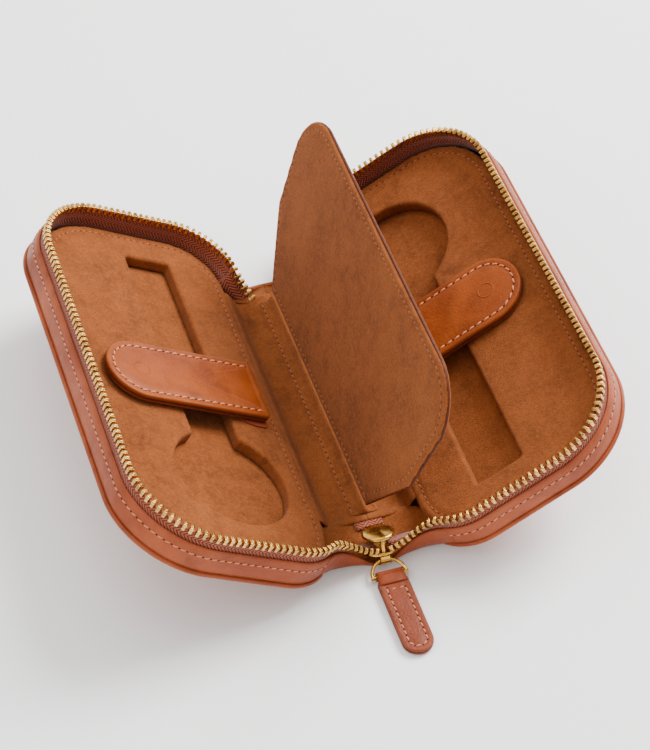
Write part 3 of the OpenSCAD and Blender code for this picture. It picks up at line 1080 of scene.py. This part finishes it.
def strip(section, thick, half, roll=0.0, step=2.0):
    """A thick strip: a cross-section (x, z) run along y, with its ends rounded."""
    sec = np.array(section, float)
    d = lengths(sec)
    s = np.linspace(0, d[-1], max(24, int(d[-1] / 0.7)))
    sec = sampled(s, d, sec)
    for _ in range(3):
        sec[1:-1] = 0.25 * sec[:-2] + 0.5 * sec[1:-1] + 0.25 * sec[2:]
    way = unit(np.gradient(sec, axis=0))
    out = np.stack([-way[:, 1], way[:, 0]], -1)
    ring = np.concatenate([sec + out * thick / 2, (sec - out * thick / 2)[::-1]])
    edge = np.array([0, 0.15, 0.5, 1.2, 2.4, 4.0])
    ys = np.concatenate([-half + edge, np.arange(-half + 6, half - 6 + 0.1, step), (half - edge)[::-1]])
    verts = []
    centre = np.concatenate([sec, sec[::-1]])
    for y in ys:
        left = half - abs(y)
        thin = min(1.0, math.sqrt(max(0.0, 1 - (1 - min(left, 0.5) / 0.5) ** 2)) + 0.05)
        lift = roll * math.exp(-((left - 1.0) / 1.8) ** 2)
        for c, p in zip(centre, ring):
            q = c + (p - c) * thin
            flat = min(1.0, max(0.0, (15.0 - q[0]) / 4.0))
            verts.append((q[0], y, q[1] + lift * flat))
    cols = len(ring)
    faces = grid_faces(len(ys), cols, wrap_cols=True) + end_caps(len(ys), cols)
    return np.array(verts), faces


def divider():
    """Divider page: two padded suede faces on a dark edge, seams, and its sewn foot."""
    run = page_outline()
    seam = run[0] + 3.4 * run[1]
    dense = finer(seam)
    made = pad("page_form", run[0] + 0.35 * run[1], -1.1, 0.9, 1.0, 1, 0.35)
    pressed(made, dense, 0.35, 0.8, 0.6)
    loop = np.concatenate([seam, seam[:1]])
    high = surface_height(made, loop, 8)
    for face, name in ((1, "front"), (-1, "back")):
        shape = lambda p, k=face: page(np.asarray(p) * np.array([1, 1, k]) + np.array([0, 0, 0.45 * k]))
        obj = placed("page_" + name, made.data.copy())
        line = shape(np.column_stack([loop, high]))
        up = shape(np.array([0, 0, 1.0])) - shape(np.array([0, 0, 0.0]))
        sewn("page_stitches_" + name, line, up, "divider", spacing=2.7, size=0.75, look=suede_thread)
        settle(obj, shape, suede, "divider", ["divider_" + name])
    bpy.data.objects.remove(made)
    slab("page_edge", page_outline(-0.45), rounded(-0.5, 0.5, 0.3), page, edge_paint,
         "divider", None, ["divider_core"], inner=(0.5,))
    section = [(-5.4, 3.75), (-5.0, 4.15), (-3.2, 4.3), (-1.9, 4.6), (-1.1, 5.5), (-0.6, 6.6), (0.6, 6.6),
               (1.1, 5.5), (1.9, 4.6), (3.2, 4.3), (5.0, 4.15), (5.4, 3.75), (5.2, 3.35), (-5.2, 3.35)]
    half = SPINE_HALF - 2
    ys = np.arange(-half, half + 0.1, 2.0)
    verts = [(x, y, z) for y in ys for x, z in section]
    cols = len(section)
    faces = grid_faces(len(ys), cols, wrap_cols=True) + end_caps(len(ys), cols)
    foot = piece("page_foot", verts, faces, suede, None, ["divider_flange"])
    soften = foot.modifiers.new("soften", "SUBSURF")
    soften.levels = 1
    evaluated(foot)
    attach(foot, "spine")
    for k in (-1, 1):
        ends = np.array([(k * 4.3, y, 4.25) for y in np.linspace(-half + 1.5, half - 1.5, 40)])
        sewn("foot_stitches_" + ("left" if k < 0 else "right"), ends, np.array([0, 0, 1.0]), "spine",
             spacing=2.7, size=0.8, look=suede_thread)


# ------------------------------------------------------------ slider and pull
def pull():
    """Pull tab: folded top on the ring, two leathers, dark edge, closed row of stitches."""
    half = TAB_W / 2
    start = 2.2

    def outline(grow):
        run = stadium(start, TAB_L, half + grow, 1.5)
        return run[0][:, ::-1], run[1][:, ::-1]

    channel = [(1.3, 1.3), (1.8, 1.18), (2.3, 1.1), (2.8, 1.2), (3.3, 1.36)]
    slab("tab_front", outline(0), rounded(-0.05, 1.25, 0.6) + channel, tab, pull_tan, "tab",
         "outer_leather", ["pull_tab_front"], inner=(0.7, 0.4), crown=(0, 0.05))
    slab("tab_back", outline(0), rounded(-1.25, 0.05, 0.6), tab, inner_tan, "tab",
         "inner_leather", ["pull_tab_back"], inner=(0.92, 0.5))
    slab("tab_edge", outline(0.03), [(0, -0.3), (-0.03, 0.0), (0, 0.3)], tab, edge_paint, "tab", inner=(0.5,))
    loop = []
    sides = 20
    for a in np.radians(np.linspace(-100, 100, sides) + 180):
        loop.append((1.85 * math.cos(a), 1.85 * math.sin(a) * 0.98))
    for a in np.radians(np.linspace(100, -100, sides) + 180):
        loop.append((1.1 * math.cos(a), 1.1 * math.sin(a)))
    xs = np.linspace(-4.7, 4.7, 9)
    verts = tab(np.array([(x, y, z) for x in xs for y, z in loop]))
    cols = len(loop)
    faces = grid_faces(len(xs), cols, wrap_cols=True) + end_caps(len(xs), cols)
    piece("tab_fold", verts, faces, inner_tan, "tab")
    flap = (np.array([(-4.7, 0.2), (4.7, 0.2), (4.9, 4.6), (-4.9, 4.6)]),
            np.array([(0, 1), (0, 1), (0, -1), (0, -1)]))
    slab("tab_fold_flap", flap, [(0.1, 1.0), (0, 1.2), (0, 1.6), (0.2, 1.85)], tab,
         inner_tan, "tab", "inner_leather", inner=(0.5,))
    g = 2.3
    tip = TAB_L - half
    around = joined(
        straight((-half + g, 7.0), (-half + g, tip), (1, 0)),
        arc(0, tip, half - g, 180, 0, 0.5),
        straight((half - g, tip), (half - g, 7.0), (-1, 0)),
        straight((half - g, 7.0), (-half + g, 7.0), (0, 1)),
    )[0]
    line = tab(np.column_stack([around, np.full(len(around), 1.16)]))
    sewn("tab_stitches", line, np.array([0, 0, 1.0]), "tab", spacing=2.6, size=1.0)


def slider():
    """Slider: a domed round plate inside, a flat one outside, joined by a post."""
    turn = math.pi - SLIDER_A

    def shape(p):
        p = np.asarray(p, float)
        y, z = p[..., 1], p[..., 2] + RUN_R
        return np.stack([p[..., 0], RUN_Y + y * math.cos(turn) - z * math.sin(turn),
                         RUN_Z + y * math.sin(turn) + z * math.cos(turn)], -1)

    r, neck, tail = 5.75, 3.55, 6.35
    a = math.degrees(math.asin(neck / r))
    face = closed(joined(
        arc(0, 0, r, a - 90, 270 - a, 0.5),
        straight((-neck, -r * math.cos(math.radians(a))), (-neck, -tail), (1, 0), 0.5),
        straight((-neck, -tail), (neck, -tail), (0, 1), 0.5),
        straight((neck, -tail), (neck, -r * math.cos(math.radians(a))), (-1, 0), 0.5),
    ))
    outer = lofted(face, rounded(2.1, 3.3, 0.4), shape, inner=(0.9, 0.6, 0.3))
    inner = lofted(face, rounded(-3.5, -2.5, 0.35), shape, inner=(0.9, 0.6, 0.3))
    disc = arc(0, 0, r, 0, 360, 0.35)
    disc = (disc[0][:-1], disc[1][:-1])
    crown = [(0.05, -3.0), (0.0, -3.3), (0.08, -3.55), (0.3, -3.72),
             (0.9, -3.86), (2.0, -4.04), (3.4, -4.18), (4.8, -4.25)]
    dome = lofted(disc, crown[::-1], shape, inner=(0.6, 0.3))
    post = rounded_box((-0.6, 2.3, -2.8), (0.6, 5.0, 2.6), 0.2)
    verts, faces = merged(outer, inner, dome, (shape(post[0]), post[1]))
    piece("slider_plates", verts, faces, brass, "slider", ["slider_body"])


def dress_cad_nodes():
    """Metal and hidden boards stay as the CAD made them, with finer edges and materials."""
    looks = {
        "slider_body": (brass, 0.0), "slider_bail": (brass, 0.2), "pull_ring": (brass, 0.0),
        "left_snap_stud": (snap_brass, 0.12), "right_snap_stud": (snap_brass, 0.12),
        "left_snap_socket": (snap_brass, 0.1), "right_snap_socket": (snap_brass, 0.1),
        "zip_tail": (tape_mat, 0.0),
    }
    for name, obj in frame["nodes"].items():
        look, bevel = looks.get(name, (board, 0.0))
        obj.data.materials.clear()
        obj.data.materials.append(look)
        if bevel:
            ease = obj.modifiers.new("eased_edges", "BEVEL")
            ease.width = bevel * MM
            ease.segments = 3
            ease.limit_method = "ANGLE"
            ease.angle_limit = math.radians(40)


def zip_tail():
    """The sewn end of the tape behind the slider."""
    xs = np.linspace(-5, 5, 11)
    ys = np.linspace(-62, -56.5, 8)
    verts, uv = [], []
    for y in ys:
        for x in xs:
            verts.append((x, y, 4.0 - 0.1 * abs(x) / 5))
            uv.append((y, x))
    faces = grid_faces(len(ys), len(xs))
    top = piece("zip_tail_tape", verts, faces, tape_mat, None, ["zip_tail"], uv)
    thicken(top, 0.7, -1)
    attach(top, "spine")


# --------------------------------------------------------------------- stage
def studio():
    """Pale sweep, soft lights and the camera."""
    sweep = bpy.data.meshes.new("sweep")
    ys = [(-2.5, 0), (0.9, 0)]
    for a in np.radians(np.linspace(0, 90, 14)):
        ys.append((0.9 + 0.8 * math.sin(a), 0.8 - 0.8 * math.cos(a)))
    ys.append((1.7, 3.0))
    verts = [(x, y, z - 0.0001) for y, z in ys for x in (-3.5, 3.5)]
    sweep.from_pydata(verts, [], grid_faces(len(ys), 2))
    floor = placed("sweep", sweep)
    sweep.polygons.foreach_set("use_smooth", [True] * len(sweep.polygons))
    pale = Shader("pale_floor", Roughness=0.8, Specular_IOR_Level=0.2)
    pale.set("Base Color", pale.mix(pale.noise(3), (0.99, 0.985, 0.98, 1), (0.97, 0.965, 0.96, 1)))
    sweep.materials.append(pale.mat)

    world = bpy.data.worlds.new("studio")
    world.use_nodes = True
    world.node_tree.nodes["Background"].inputs["Color"].default_value = (1.0, 0.985, 0.965, 1)
    world.node_tree.nodes["Background"].inputs["Strength"].default_value = 0.76
    bpy.context.scene.world = world
    for name, place_at, size, power in (
        ("key", (0.85, 0.35, 0.95), 0.65, 40.0),
        ("fill", (-1.0, -0.5, 0.8), 1.2, 8.0),
        ("top", (-0.15, 0.35, 1.3), 1.2, 9.0),
    ):
        light = bpy.data.lights.new(name, "AREA")
        light.energy = power
        light.size = size
        lamp = placed(name, light)
        lamp.location = place_at
        aim = Vector((0, 0, 0.03)) - Vector(place_at)
        lamp.rotation_euler = aim.to_track_quat("-Z", "Y").to_euler()

    target = Vector((-0.0051, -0.0262, 0.0460))
    azimuth, elevation, distance = math.radians(17.7), math.radians(46.2), 0.900
    back = Vector((-math.sin(azimuth) * math.cos(elevation), -math.cos(azimuth) * math.cos(elevation),
                   math.sin(elevation)))
    camera = bpy.data.cameras.new("camera")
    camera.lens = 125.8
    camera.sensor_width = 36.0
    camera.clip_start = 0.05
    holder = placed("camera", camera)
    holder.location = target + back * distance
    holder.rotation_euler = (-back).to_track_quat("-Z", "Y").to_euler()
    bpy.context.scene.camera = holder


# ---------------------------------------------------------------------- build
dress_cad_nodes()
form = None
for side, name in ((1, "right"), (-1, "left")):
    tray_shell(side, name)
    soft_end(side, name, -1)
    soft_end(side, name, 1)
    form = insert(side, name, form)
    strap(side, name)
bpy.data.objects.remove(form)
spine_parts()
divider()
zip_tail()
slider()
pull()
studio()
